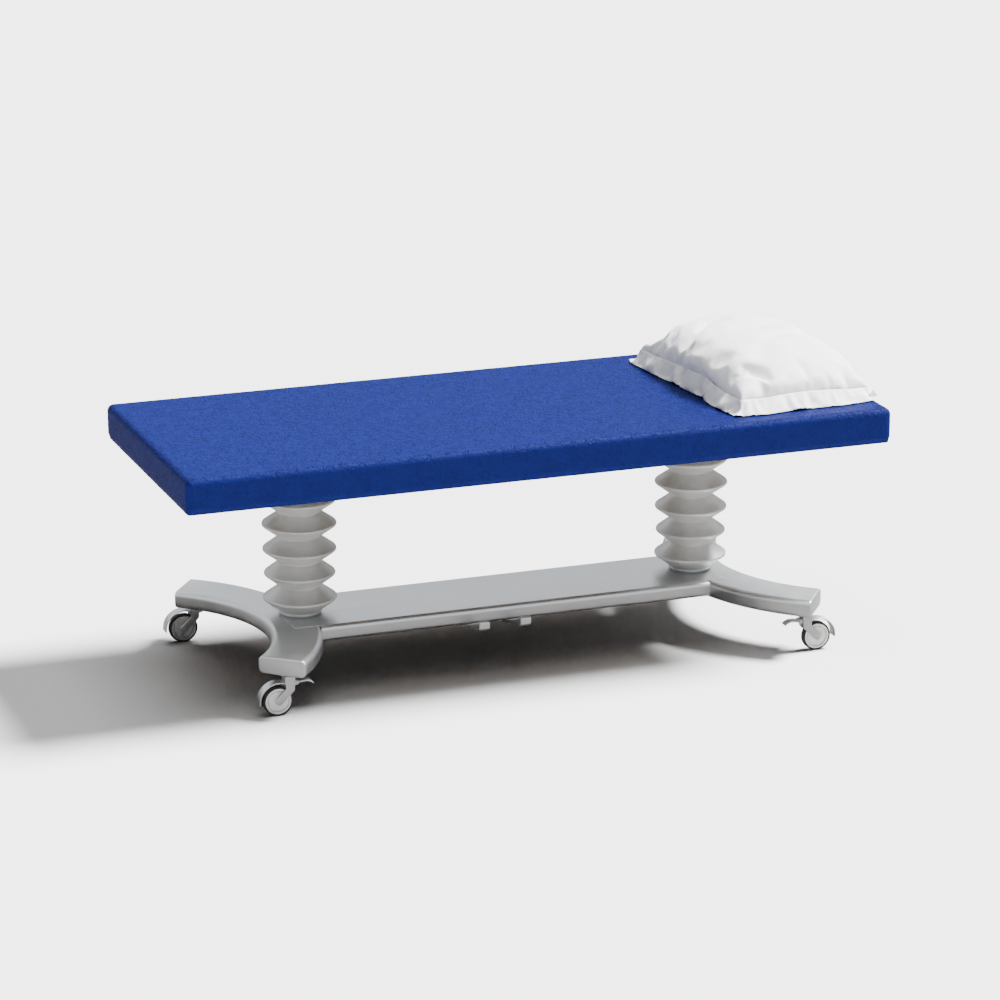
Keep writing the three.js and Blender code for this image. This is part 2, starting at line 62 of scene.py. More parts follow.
# Each sun: its name, where it shines from, its strength and its width in degrees.
KEY_SUN = ("key", (0.62, 0.01, 0.78), 18.8, 18)
OVERHEAD_SUN = ("overhead", (0.0, 0.0, 1.0), 2.0, 45)
SKY_SUN = ("sky", (0.0, 0.0, 1.0), 4.3, 164)
SKY_TINT = (0.95, 1.0, 1.05)
FLOOR_REACH = 60
FLOOR_TONE = (0.85, 0.85, 0.85, 1)
# Painted reflection: the floor's tone for glossy rays only, far darker than the floor, standing in
# for shade in the table's reflections.
FLOOR_TONE_IN_PAINTED_REFLECTIONS = (0.160, 0.153, 0.148, 1)
BACKDROP_RADIUS = 58
BACKDROP_GLOW = 4.6


def add_camera():
    data = bpy.data.cameras.new("camera")
    data.sensor_width = 36
    data.lens = CAMERA_LENS
    data.clip_end = CAMERA_REACH
    camera = bpy.data.objects.new("camera", data)
    camera.location = CAMERA_PLACE
    camera.rotation_euler = (math.pi / 2 - CAMERA_PITCH, 0, -CAMERA_YAW)
    scene.collection.objects.link(camera)
    scene.camera = camera


def add_lights():
    """A key sun, a weak fill from above, and a wide sky that only glossy surfaces show."""
    world = bpy.data.worlds.new("studio")
    scene.world = world
    world.use_nodes = True
    background = world.node_tree.nodes["Background"]
    background.inputs["Color"].default_value = (1.0, 1.0, 1.0, 1)
    background.inputs["Strength"].default_value = WORLD_GLOW

    add_sun(*KEY_SUN)
    add_sun(*OVERHEAD_SUN)
    sky = add_sun(*SKY_SUN)
    sky.data.color = SKY_TINT
    sky.visible_diffuse = False


def add_sun(name, towards, energy, degrees):
    sun = bpy.data.lights.new(name, "SUN")
    sun.energy = energy
    sun.angle = math.radians(degrees)
    lamp = bpy.data.objects.new(name, sun)
    lamp.rotation_euler = Vector(towards).to_track_quat("Z", "Y").to_euler()
    scene.collection.objects.link(lamp)
    return lamp


def flat_square(name, half):
    """A level square at height 0, round the origin."""
    mesh = bpy.data.meshes.new(name)
    corners = [(-half, -half, 0), (half, -half, 0), (half, half, 0), (-half, half, 0)]
    mesh.from_pydata(corners, [], [(0, 1, 2, 3)])
    square = bpy.data.objects.new(name, mesh)
    scene.collection.objects.link(square)
    return square


def add_floor():
    """A pale floor, painted darker where it is mirrored in the table: a painted reflection of shade
    in the table's shiny parts.
    """
    floor = flat_square("floor", FLOOR_REACH)
    paint = bpy.data.materials.new("floor_paint")
    paint.use_nodes = True
    nodes, links = paint.node_tree.nodes, paint.node_tree.links
    shader = nodes["Principled BSDF"]
    tone = nodes.new("ShaderNodeMix")
    tone.data_type = "RGBA"
    tone.inputs[6].default_value = FLOOR_TONE
    tone.inputs[7].default_value = FLOOR_TONE_IN_PAINTED_REFLECTIONS
    # Glossy rays get the darker tone: a painted reflection of shade, not the floor's own colour.
    links.new(nodes.new("ShaderNodeLightPath").outputs["Is Glossy Ray"], tone.inputs["Factor"])
    links.new(tone.outputs[2], shader.inputs["Base Color"])
    shader.inputs["Roughness"].default_value = 1.0
    shader.inputs["Specular IOR Level"].default_value = 0.0
    floor.data.materials.append(paint)


def add_backdrop():
    """A pale dome that only the camera sees, as bright as the floor, for views near the horizon."""
    mesh = bpy.data.meshes.new("backdrop")
    work = bmesh.new()
    bmesh.ops.create_uvsphere(work, u_segments=64, v_segments=32, radius=BACKDROP_RADIUS)
    work.to_mesh(mesh)
    work.free()
    dome = bpy.data.objects.new("backdrop", mesh)
    scene.collection.objects.link(dome)
    glow = bpy.data.materials.new("backdrop_glow")
    glow.use_nodes = True
    shader = glow.node_tree.nodes["Principled BSDF"]
    shader.inputs["Base Color"].default_value = (0, 0, 0, 1)
    shader.inputs["Specular IOR Level"].default_value = 0.0
    shader.inputs["Emission Color"].default_value = (1, 1, 1, 1)
    shader.inputs["Emission Strength"].default_value = BACKDROP_GLOW
    mesh.materials.append(glow)
    dome.visible_diffuse = False
    dome.visible_glossy = False
    dome.visible_transmission = False
    dome.visible_volume_scatter = False
    dome.visible_shadow = False


# ------------------------------------------------------------------ mesh helpers
def finish_mesh(piece, smooth_degrees):
    """Merges doubles, turns faces outward and shades smooth except over sharp edges."""
    mesh = piece.data
    work = bmesh.new()
    work.from_mesh(mesh)
    bmesh.ops.remove_doubles(work, verts=work.verts, dist=1e-6)
    bmesh.ops.recalc_face_normals(work, faces=work.faces)
    work.to_mesh(mesh)
    work.free()
    mesh.shade_smooth()
    mesh.set_sharp_from_angle(angle=math.radians(smooth_degrees))
    return piece


def add_mesh(name, vertices, faces, smooth_degrees=35):
    mesh = bpy.data.meshes.new(name)
    mesh.from_pydata([tuple(v) for v in vertices], [], faces)
    piece = bpy.data.objects.new(name, mesh)
    scene.collection.objects.link(piece)
    return finish_mesh(piece, smooth_degrees)


def loft(name, rings, wrap=False, smooth_degrees=35):
    """A skin over equal closed loops of points, capped at both ends or wrapped round on itself."""
    count = len(rings[0])
    total = len(rings)
    faces = []
    for r in range(total if wrap else total - 1):
        for i in range(count):
            here, after = r * count, ((r + 1) % total) * count
            j = (i + 1) % count
            faces.append((here + i, here + j, after + j, after + i))
    if not wrap:
        faces.append(tuple(range(count)))
        faces.append(tuple((total - 1) * count + i for i in range(count)))
    return add_mesh(name, [p for ring in rings for p in ring], faces, smooth_degrees)


def lathe(name, profile, centre=(0, 0, 0), axis="Z", segments=96, smooth_degrees=35):
    """Turns a closed (radius, height) outline about a line through centre along Z or Y."""
    rings = []
    for i in range(segments):
        angle = 2 * math.pi * i / segments
        c, s = math.cos(angle), math.sin(angle)
        if axis == "Z":
            ring = [(centre[0] + r * c, centre[1] + r * s, centre[2] + h) for r, h in profile]
        else:
            ring = [(centre[0] + r * c, centre[1] + h, centre[2] + r * s) for r, h in profile]
        rings.append(ring)
    return loft(name, rings, wrap=True, smooth_degrees=smooth_degrees)


def fillet(points, radius, steps=5):
    """A closed outline with rounded corners; radius is one number, or one for each corner."""
    result = []
    count = len(points)
    for i, corner in enumerate(points):
        wanted = radius[i] if hasattr(radius, "__len__") else radius
        corner = Vector(corner)
        back = Vector(points[i - 1]) - corner
        ahead = Vector(points[(i + 1) % count]) - corner
        half = back.angle(ahead) / 2
        reach = min(wanted / math.tan(half), 0.49 * back.length, 0.49 * ahead.length)
        if reach < 1e-6 or half > math.radians(89):
            result.append(tuple(corner))
            continue
        turn = reach * math.tan(half)
        inward = (back.normalized() + ahead.normalized()).normalized()
        middle = corner + inward * (turn / math.sin(half))
        start = corner + back.normalized() * reach - middle
        end = corner + ahead.normalized() * reach - middle
        for k in range(steps + 1):
            result.append(tuple(middle + start.slerp(end, k / steps) * turn))
    return result


def rectangle(half_a, half_b, centre_a=0.0, centre_b=0.0):
    return [(centre_a + a * half_a, centre_b + b * half_b)
            for a, b in ((1, 1), (-1, 1), (-1, -1), (1, -1))]


def prism(name, outline, axis, start, end):
    """An outline extruded along X (outline in Y, Z), Y (in X, Z) or Z (in X, Y)."""
    place = {
        "X": lambda a, b, t: (t, a, b),
        "Y": lambda a, b, t: (a, t, b),
        "Z": lambda a, b, t: (a, b, t),
    }[axis]
    return loft(name, [[place(a, b, t) for a, b in outline] for t in (start, end)])


def apply_modifiers(piece, smooth_degrees=35):
    graph = bpy.context.evaluated_depsgraph_get()
    mesh = bpy.data.meshes.new_from_object(piece.evaluated_get(graph))
    piece.modifiers.clear()
    piece.data = mesh
    return finish_mesh(piece, smooth_degrees)


def bevel(piece, width, segments=3, over_degrees=40):
    rounding = piece.modifiers.new("bevel", "BEVEL")
    rounding.width = width
    rounding.segments = segments
    rounding.limit_method = "ANGLE"
    rounding.angle_limit = math.radians(over_degrees)
    rounding.use_clamp_overlap = True
    return apply_modifiers(piece)


def boolean(piece, tools, operation="DIFFERENCE"):
    for tool in tools:
        step = piece.modifiers.new("cut", "BOOLEAN")
        step.operation = operation
        step.solver = "EXACT"
        step.object = tool
    apply_modifiers(piece)
    for tool in tools:
        bpy.data.objects.remove(tool)


def join(name, pieces):
    """One object from several, which are removed."""
    work = bmesh.new()
    for piece in pieces:
        work.from_mesh(piece.data)
    mesh = bpy.data.meshes.new(name)
    work.to_mesh(mesh)
    work.free()
    for piece in pieces:
        bpy.data.objects.remove(piece)
    joined = bpy.data.objects.new(name, mesh)
    scene.collection.objects.link(joined)
    return joined


def copy_mirrored(name, original, side, offset):
    """A copy of a caster part, mirrored for the foot end and moved to its place."""
    piece = bpy.data.objects.new(name, original.data.copy())
    scene.collection.objects.link(piece)
    for vertex in piece.data.vertices:
        vertex.co = Vector((vertex.co.x * side, vertex.co.y, vertex.co.z)) + Vector(offset)
    if side < 0:
        piece.data.flip_normals()
    return piece


def settle(piece, material, body, slot, *nodes):
    """Gives a finished piece its material, its body and the CAD nodes that it stands for."""
    piece.data.materials.clear()
    piece.data.materials.append(material)
    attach(piece, body)
    if nodes:
        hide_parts(*nodes)


# ------------------------------------------------------------------ materials
class Shade:
    """A small builder for node materials around one Principled BSDF."""

    def __init__(self, name, color, roughness, metallic=0.0):
        self.material = bpy.data.materials.new(name)
        self.material.use_nodes = True
        self.tree = self.material.node_tree
        self.shader = self.tree.nodes["Principled BSDF"]
        self.shader.inputs["Base Color"].default_value = (*color, 1)
        self.shader.inputs["Roughness"].default_value = roughness
        self.shader.inputs["Metallic"].default_value = metallic
        self.material.diffuse_color = (*color, 1)
        self.where = self.tree.nodes.new("ShaderNodeTexCoord").outputs["Object"]
        self.normal = None

    def node(self, kind, **inputs):
        made = self.tree.nodes.new(kind)
        for key, value in inputs.items():
            socket = made.inputs[key.replace("_", " ")]
            if isinstance(value, bpy.types.NodeSocket):
                self.tree.links.new(value, socket)
            else:
                socket.default_value = value
        return made

    def noise(self, scale, detail=4.0, roughness=0.6, where=None):
        made = self.node("ShaderNodeTexNoise", Vector=where or self.where, Scale=scale,
                         Detail=detail, Roughness=roughness)
        return made.outputs["Fac"]

    def stretched(self, x, y, z):
        made = self.node("ShaderNodeMapping", Vector=self.where, Scale=(x, y, z))
        return made.outputs["Vector"]

    def distance_to_cell_edge(self, scale, where):
        made = self.node("ShaderNodeTexVoronoi", Vector=where, Scale=scale)
        made.feature = "DISTANCE_TO_EDGE"
        return made.outputs["Distance"]

    def spread(self, value, low, high, to_low, to_high):
        made = self.tree.nodes.new("ShaderNodeMapRange")
        self.tree.links.new(value, made.inputs["Value"])
        limits = {"From Min": low, "From Max": high, "To Min": to_low, "To Max": to_high}
        for key, number in limits.items():
            made.inputs[key].default_value = number
        return made.outputs["Result"]

    def math(self, operation, a, b):
        made = self.tree.nodes.new("ShaderNodeMath")
        made.operation = operation
        for socket, value in zip(made.inputs, (a, b)):
            if isinstance(value, bpy.types.NodeSocket):
                self.tree.links.new(value, socket)
            else:
                socket.default_value = value
        return made.outputs["Value"]

    def mottle(self, pattern, low, high, dark, light):
        """Colours the surface from dark, where the pattern is low, to light, where it is high."""
        factor = self.spread(pattern, low, high, 0.0, 1.0)
        self.drive("Base Color", self.between(factor, dark, light))

    def between(self, factor, dark, light):
        made = self.tree.nodes.new("ShaderNodeMix")
        made.data_type = "RGBA"
        self.tree.links.new(factor, made.inputs["Factor"])
        made.inputs[6].default_value = (*dark, 1)
        made.inputs[7].default_value = (*light, 1)
        return made.outputs[2]

    def bump(self, height, distance, strength=1.0):
        made = self.node("ShaderNodeBump", Height=height, Distance=distance, Strength=strength)
        if self.normal is not None:
            self.tree.links.new(self.normal, made.inputs["Normal"])
        self.normal = made.outputs["Normal"]

    def round_edges(self, radius):
        made = self.tree.nodes.new("ShaderNodeBevel")
        made.samples = 4
        made.inputs["Radius"].default_value = radius
        self.normal = made.outputs["Normal"]

    def drive(self, socket, value):
        self.tree.links.new(value, self.shader.inputs[socket])

    def set(self, socket, value):
        self.shader.inputs[socket].default_value = value

    def done(self):
        if self.normal is not None:
            self.tree.links.new(self.normal, self.shader.inputs["Normal"])
        return self.material


VINYL_DARK = (0.0006, 0.0012, 0.012)
VINYL_LIGHT = (0.0036, 0.0078, 0.083)
CREASE_WANDER = 22 * MM
CREASE_DEPTH = 2.0 * MM
# The creases and pits are painted darker as painted shade; on the sides this painted shade, like
# the crease bumps, is weaker than on the lit top.
CREASE_PAINTED_SHADE = 0.70              # how much of the colour's brightness is left in a crease
SIDE_GRAIN_AND_PAINTED_SHADE = 0.45               # how strong the creases are on the sides, next to the top


def vinyl_material():
    """Leather grain: broken networks of wandering creases and small pits, over fine pebbles. The
    creases and pits are painted darker, a painted shade that is stronger on the top than on the
    sides.
    """
    shade = Shade("blue_vinyl", (0.003, 0.009, 0.088), 0.55)
    shade.set("Specular IOR Level", 0.04)
    warp = shade.node("ShaderNodeTexNoise", Vector=shade.where, Scale=38.0, Detail=2.0)
    pushed = shade.tree.nodes.new("ShaderNodeVectorMath")
    pushed.operation = "MULTIPLY_ADD"
    shade.tree.links.new(warp.outputs["Color"], pushed.inputs[0])
    pushed.inputs[1].default_value = (CREASE_WANDER, CREASE_WANDER, CREASE_WANDER)
    shade.tree.links.new(shade.where, pushed.inputs[2])
    edges = shade.distance_to_cell_edge(90.0, pushed.outputs["Vector"])
    lines = shade.spread(edges, 0.0, 0.15, 1.0, 0.0)
    patches = shade.spread(shade.noise(60.0, 2.0, 0.5), 0.48, 0.58, 0.15, 1.0)
    specks = shade.spread(shade.noise(170.0, 2.0, 0.5), 0.56, 0.63, 0.0, 0.9)
    grain = shade.math("MAXIMUM", shade.math("MULTIPLY", lines, patches), specks)
    # The creases' bumps and their painted shade fade on the sides and are full on the top, which
    # catches the light.
    facing = shade.tree.nodes.new("ShaderNodeTexCoord").outputs["Normal"]
    upward = shade.node("ShaderNodeSeparateXYZ", Vector=facing).outputs["Z"]
    grain = shade.math("MULTIPLY", grain, shade.spread(upward, 0.2, 0.9, SIDE_GRAIN_AND_PAINTED_SHADE, 1.0))
    pebbles = shade.noise(260.0, 3.0, 0.55)
    rolls = shade.noise(24.0, 3.0, 0.6)
    shade.bump(rolls, 2.0 * MM, 0.5)
    shade.bump(shade.spread(grain, 0.0, 1.0, 1.0, 0.0), CREASE_DEPTH, 0.9)
    shade.bump(pebbles, 0.5 * MM, 0.5)
    # Painted shade in the creases and pits, times a slight tone that follows the rolls.
    tone = shade.math("MULTIPLY", shade.spread(grain, 0.0, 1.0, 1.0, CREASE_PAINTED_SHADE),
                      shade.spread(rolls, 0.3, 0.7, 0.88, 1.08))
    shade.drive("Base Color", shade.between(tone, VINYL_DARK, VINYL_LIGHT))
    shade.drive("Roughness", shade.spread(pebbles, 0.3, 0.7, 0.48, 0.62))
    return shade.done()


def cotton_material():
    """Plain weave with thicker threads here and there, slightly crumpled."""
    shade = Shade("white_cotton", (0.86, 0.86, 0.87), 0.85)
    warp = shade.node("ShaderNodeTexWave", Vector=shade.where, Scale=420.0, Distortion=0.6)
    weft = shade.node("ShaderNodeTexWave", Vector=shade.where, Scale=420.0, Distortion=0.6)
    weft.bands_direction = "Y"
    weave = shade.math("MAXIMUM", warp.outputs["Fac"], weft.outputs["Fac"])
    slubs = shade.noise(60.0, 5.0, 0.6)
    crumple = shade.noise(14.0, 3.0, 0.5)
    shade.bump(crumple, 5 * MM, 0.25)
    shade.bump(slubs, 0.6 * MM, 0.25)
    shade.bump(weave, 0.15 * MM, 0.3)
    shade.mottle(slubs, 0.3, 0.7, (0.91, 0.91, 0.92), (0.94, 0.94, 0.945))
    shade.set("Sheen Weight", 0.25)
    shade.set("Sheen Roughness", 0.5)
    return shade.done()


def silver_material(name, grain=(1.0, 1.0, 1.0), color=(0.60, 0.605, 0.61), roughness=0.34,
                    edge=0.0):
    """Satin silver paint with a fine metallic fleck and soft handling marks."""
    shade = Shade(name, color, roughness, 0.9)
    if edge:
        shade.round_edges(edge)
    fleck = shade.noise(1400.0, 2.0, 0.5)
    marks = shade.noise(18.0, 5.0, 0.65, shade.stretched(*grain))
    shade.bump(fleck, 0.05 * MM, 0.12)
    shade.bump(marks, 0.4 * MM, 0.05)
    worn = shade.spread(marks, 0.3, 0.7, roughness - 0.05, roughness + 0.06)
    sparkle = shade.spread(fleck, 0.3, 0.7, -0.03, 0.03)
    shade.drive("Roughness", shade.math("ADD", worn, sparkle))
    dull = tuple(0.9 * c for c in color)
    shade.mottle(marks, 0.3, 0.7, dull, color)
    return shade.done()


def bellows_material():
    """Grey coated fabric, gritty and a little dusty."""
    shade = Shade("bellows_grey", (0.50, 0.495, 0.48), 0.5, 0.7)
    grit = shade.noise(700.0, 3.0, 0.6)
    dust = shade.noise(30.0, 5.0, 0.6)
    shade.bump(grit, 0.12 * MM, 0.3)
    shade.drive("Roughness", shade.spread(grit, 0.3, 0.7, 0.42, 0.54))
    shade.mottle(dust, 0.3, 0.7, (0.52, 0.515, 0.50), (0.60, 0.595, 0.58))
    return shade.done()


def rim_material():
    shade = Shade("rim_grey", (0.50, 0.50, 0.485), 0.45)
    grain = shade.noise(500.0, 3.0, 0.6)
    scuffs = shade.noise(90.0, 6.0, 0.7)
    shade.bump(grain, 0.05 * MM, 0.3)
    shade.drive("Roughness", shade.spread(scuffs, 0.3, 0.7, 0.38, 0.55))
    shade.mottle(scuffs, 0.35, 0.65, (0.46, 0.46, 0.445), (0.53, 0.53, 0.515))
    return shade.done()


def tyre_material():
    shade = Shade("tyre_rubber", (0.012, 0.012, 0.013), 0.7)
    grain = shade.noise(800.0, 4.0, 0.6)
    dust = shade.noise(70.0, 5.0, 0.7)
    shade.bump(grain, 0.1 * MM, 0.4)
    shade.drive("Roughness", shade.spread(grain, 0.3, 0.7, 0.6, 0.8))
    shade.mottle(dust, 0.4, 0.75, (0.010, 0.010, 0.011), (0.035, 0.034, 0.033))
    return shade.done()


def plywood_material():
    shade = Shade("plywood", (0.50, 0.32, 0.16), 0.7)
    grain = shade.noise(9.0, 8.0, 0.65, shade.stretched(1.0, 22.0, 40.0))
    shade.bump(grain, 0.3 * MM, 0.3)
    # The board's grain is painted this dark so that it sends back little light: painted shade that
    # keeps the floor under the table and the board's reflection in the beam dark.
    shade.mottle(grain, 0.3, 0.7, (0.050, 0.030, 0.016), (0.105, 0.070, 0.040))
    return shade.done()


def chrome_material():
    shade = Shade("chrome", (0.62, 0.62, 0.63), 0.14, 1.0)
    shade.round_edges(1.0 * MM)
    wipe = shade.noise(40.0, 5.0, 0.6, shade.stretched(1.0, 1.0, 0.1))
    shade.bump(wipe, 0.05 * MM, 0.1)
    shade.drive("Roughness", shade.spread(wipe, 0.3, 0.7, 0.1, 0.2))
    return shade.done()


VINYL = vinyl_material()
COTTON = cotton_material()
SILVER_BEAM = silver_material("silver_beam", (0.12, 1.0, 1.0))
SILVER_CAST = silver_material("silver_cast")
SILVER_SMALL = silver_material("silver_small", roughness=0.36)
STEEL = silver_material("frame_steel", (0.3, 1.0, 1.0), (0.30, 0.305, 0.31), 0.42, edge=1.2 * MM)
BELLOWS = bellows_material()
RIM = rim_material()
TYRE = tyre_material()
PLYWOOD = plywood_material()
CHROME = chrome_material()


# ------------------------------------------------------------------ padded top
PAD_HALF = Vector((0.950, 0.379, 0.046))
PAD_MIDDLE = Vector((0, 0, 0.610))
PAD_EDGE = 0.0175
PAD_CELL = 0.011
PAD_SIDE_CELL = 0.010
BOARD_EDGE = 0.0251
BOARD_CEILING = 0.5763
POCKET_HALF_X = PAD_HALF.x - BOARD_EDGE + CLEARANCE
POCKET_HALF_Y = PAD_HALF.y - BOARD_EDGE + CLEARANCE
POCKET_DRAFT = 0.0004


def grid_lines(half, step, extra=()):
    """Lines across a rounded box, closer together over its rounded edges, with extra pairs."""
    flat = half - PAD_EDGE
    edge = [flat + PAD_EDGE * math.tan(math.radians(a)) for a in (9, 18, 27, 36, 45)]
    count = max(2, round(2 * flat / step))
    inner = [flat * (2 * i / count - 1) for i in range(count + 1)]
    lines = [-e for e in edge] + inner + edge
    for position in extra:
        lines += [position, -position]
    return sorted(lines)


def pad_point(lattice):
    """Rounds the box's edges, opens the pocket for the board and softens the flat faces."""
    inner = Vector([max(-(h - PAD_EDGE), min(h - PAD_EDGE, c)) for c, h in zip(lattice, PAD_HALF)])
    out = lattice - inner
    point = inner + out.normalized() * PAD_EDGE
    soft = noise.noise(point * 7.0) * 0.5 + noise.noise(point * 17.0) * 0.3
    point -= out.normalized() * (0.0006 + 0.0006 * soft)
    if lattice.z < -PAD_HALF.z + 1e-6:
        point.z = -PAD_HALF.z
        within_x = abs(lattice.x) < POCKET_HALF_X - POCKET_DRAFT / 4
        within_y = abs(lattice.y) < POCKET_HALF_Y - POCKET_DRAFT / 4
        if within_x and within_y:
            point.z = BOARD_CEILING - PAD_MIDDLE.z
    return point + PAD_MIDDLE


def add_pad():
    """The upholstered pad as one closed skin over a box-shaped lattice."""
    lines = [
        grid_lines(PAD_HALF.x, PAD_CELL, (POCKET_HALF_X, POCKET_HALF_X - POCKET_DRAFT)),
        grid_lines(PAD_HALF.y, PAD_CELL, (POCKET_HALF_Y, POCKET_HALF_Y - POCKET_DRAFT)),
        grid_lines(PAD_HALF.z, PAD_SIDE_CELL),
    ]
    last = [len(line) - 1 for line in lines]
    numbers = {}
    vertices = []

    def vertex(i, j, k):
        if (i, j, k) not in numbers:
            numbers[i, j, k] = len(vertices)
            vertices.append(pad_point(Vector((lines[0][i], lines[1][j], lines[2][k]))))
        return numbers[i, j, k]

    faces = []
    for fixed in range(3):
        a, b = [axis for axis in range(3) if axis != fixed]
        for side in (0, last[fixed]):
            for p in range(last[a]):
                for q in range(last[b]):
                    face = []
                    for dp, dq in ((0, 0), (1, 0), (1, 1), (0, 1)):
                        index = [0, 0, 0]
                        index[fixed] = side
                        index[a] = p + dp
                        index[b] = q + dq
                        face.append(vertex(*index))
                    faces.append(face)
    pad = add_mesh("pad_upholstery", vertices, faces, smooth_degrees=60)
    settle(pad, VINYL, "top", "vinyl", "pad_cover", "pad_foam")


# ------------------------------------------------------------------ pillow
PILLOW_PLACE = Vector((0.722, 0.006, 0.6548))
PILLOW_TURN = math.radians(4.5)
BAG_HALF = (0.203, 0.309)
FLANGE_WIDTH = 0.050
FLANGE_RUN = 0.66               # how far the flange reaches out, for its width
FLANGE_DROP = 0.80              # how far it slopes down, for its width
FLANGE_WAVE = 0.007
FLANGE_CORNER_LIFT = 0.022
FLANGE_INSET = 0.010
FLANGE_THICKNESS = 1.8 * MM
SEAM_HEIGHT = 0.043
SEAM_RISE = 0.010
SEAM_SHRINK = 0.06
CROWN_HEIGHT = 0.100
CROWN_ROUGHNESS = 0.004
BELLY_DEPTH = 0.041
CLOTH_CELL = 0.0085
STUFFING_VOLUME = 0.0243
CLOTH_FRAMES = 30


def pillow_pattern():
    """The sewn shape before it settles: a full bag of two sheets in a sloping flange.

    Returns its points and faces, the bag's and the seam's point numbers, and for each point how
    near the seam it is and how far out on the flange, both from 0 to 1.
    """
    across = [round(2 * half / CLOTH_CELL) for half in BAG_HALF]
    border = round(FLANGE_WIDTH / (CLOTH_CELL * 1.15))

    def line(index, axis):
        """How far along the bag a lattice line is, and how far outside its seam."""
        half = BAG_HALF[axis]
        if index < 0:
            return -half, -index * FLANGE_WIDTH / border
        if index > across[axis]:
            return half, (index - across[axis]) * FLANGE_WIDTH / border
        return -half + 2 * half * index / across[axis], 0.0

    points, faces, bag, seam, near_seam = [], [], [], [], []
    lower, upper = {}, {}

    def add(u, v, height, nearness, inset=0.0):
        points.append((u, v, height))
        near_seam.append((nearness, inset))
        return len(points) - 1

    for i in range(-border, across[0] + border + 1):
        for j in range(-border, across[1] + border + 1):
            (u, out_u), (v, out_v) = line(i, 0), line(j, 1)
            side_u, side_v = u / BAG_HALF[0], v / BAG_HALF[1]
            full = max(0.0, (1 - side_u ** 4) * (1 - side_v ** 4))
            dome = 1 - 0.14 * (side_u ** 2 + side_v ** 2)
            rough = noise.noise(Vector((u + out_u * side_u, v + out_v * side_v, 0.3)) * 13.0)
            outside = max(out_u, out_v)
            if outside > 0:
                wave = rough * FLANGE_WAVE * outside / FLANGE_WIDTH
                lift = FLANGE_CORNER_LIFT * out_u * out_v / FLANGE_WIDTH ** 2 * (side_u > 0)
                height = max(0.003, SEAM_HEIGHT - FLANGE_DROP * outside + wave + lift)
                lower[i, j] = add(u + math.copysign(out_u * FLANGE_RUN, u),
                                  v + math.copysign(out_v * FLANGE_RUN, v), height,
                                  1 - outside / FLANGE_WIDTH, outside / FLANGE_WIDTH)
                continue
            nearness = max(0.0, 1 - full / 0.5) ** 2
            lower[i, j] = add(u, v, SEAM_HEIGHT - BELLY_DEPTH * full ** 0.3, nearness)
            bag.append(lower[i, j])
            if full < 1e-9:
                upper[i, j] = lower[i, j]
                seam.append(lower[i, j])
            else:
                height = SEAM_HEIGHT + CROWN_HEIGHT * dome * full ** 0.5
                upper[i, j] = add(u, v, height + rough * CROWN_ROUGHNESS, nearness)
                bag.append(upper[i, j])
    for i in range(-border, across[0] + border):
        for j in range(-border, across[1] + border):
            corners = ((i, j), (i, j + 1), (i + 1, j + 1), (i + 1, j))
            faces.append([lower[c] for c in corners])
            if 0 <= i < across[0] and 0 <= j < across[1]:
                faces.append([upper[c] for c in reversed(corners)])
    return points, faces, bag, seam, near_seam


def lift_seam(place, nearness, inset):
    """Raises the cloth near the seam and draws the flange in, so that it slopes down steeply."""
    across = Vector((place.x / BAG_HALF[0], place.y / BAG_HALF[1]))
    largest = max(abs(across.x), abs(across.y))
    towards = Vector((round(across.x / largest, 6) ** 5, round(across.y / largest, 6) ** 5))
    pull = towards * FLANGE_INSET * inset
    return Vector((place.x - pull.x, place.y - pull.y, place.z + SEAM_RISE * nearness))


def simulate_pillow():
    """Fills the sewn shape by pressure and lets it settle on a plane, as cloth."""
    start, faces, bag, seam, near_seam = pillow_pattern()
    mesh = bpy.data.meshes.new("pillow_cloth")
    mesh.from_pydata(start, [], faces)
    cloth = bpy.data.objects.new("pillow_cloth", mesh)
    scene.collection.objects.link(cloth)
    for name, members in (("bag", bag), ("seam", seam)):
        cloth.vertex_groups.new(name=name).add(members, 1.0, "REPLACE")

    table = flat_square("rest_plane", 1)
    table.modifiers.new("collision", "COLLISION")
    table.collision.thickness_outer = 0.001
    table.collision.cloth_friction = 20

    effect = cloth.modifiers.new("cloth", "CLOTH")
    settings = effect.settings
    settings.quality = 6
    settings.mass = 0.3
    settings.air_damping = 3.0
    settings.tension_stiffness = 15
    settings.compression_stiffness = 15
    settings.shear_stiffness = 4
    settings.bending_stiffness = 0.15
    settings.use_pressure = True
    settings.use_pressure_volume = True
    settings.target_volume = STUFFING_VOLUME
    settings.uniform_pressure_force = 0.0
    settings.pressure_factor = 40.0
    settings.vertex_group_pressure = "bag"
    settings.vertex_group_shrink = "seam"
    settings.shrink_min = 0.0
    settings.shrink_max = SEAM_SHRINK
    settings.effector_weights.gravity = 0.02
    effect.collision_settings.use_collision = True
    effect.collision_settings.distance_min = 0.0015
    effect.collision_settings.use_self_collision = False
    effect.point_cache.frame_start = 1
    effect.point_cache.frame_end = CLOTH_FRAMES
    for number in range(1, CLOTH_FRAMES + 1):
        scene.frame_set(number)
    graph = bpy.context.evaluated_depsgraph_get()
    settled = bpy.data.meshes.new_from_object(cloth.evaluated_get(graph))
    places = [lift_seam(v.co, *near_seam[v.index]) for v in settled.vertices]
    scene.frame_set(1)
    for helper in (cloth, table):
        bpy.data.objects.remove(helper)
    return places, faces, bag


def pillow_sheet(name, places, faces):
    """One part of the settled cloth, turned and set on the pad."""
    used = sorted({corner for face in faces for corner in face})
    order = {corner: number for number, corner in enumerate(used)}
    c, s = math.cos(PILLOW_TURN), math.sin(PILLOW_TURN)
    vertices = [Vector((c * p.x - s * p.y, s * p.x + c * p.y, p.z)) + PILLOW_PLACE
                for p in (places[corner] for corner in used)]
    corners = [[order[corner] for corner in face] for face in faces]
    return add_mesh(name, vertices, corners, smooth_degrees=180)


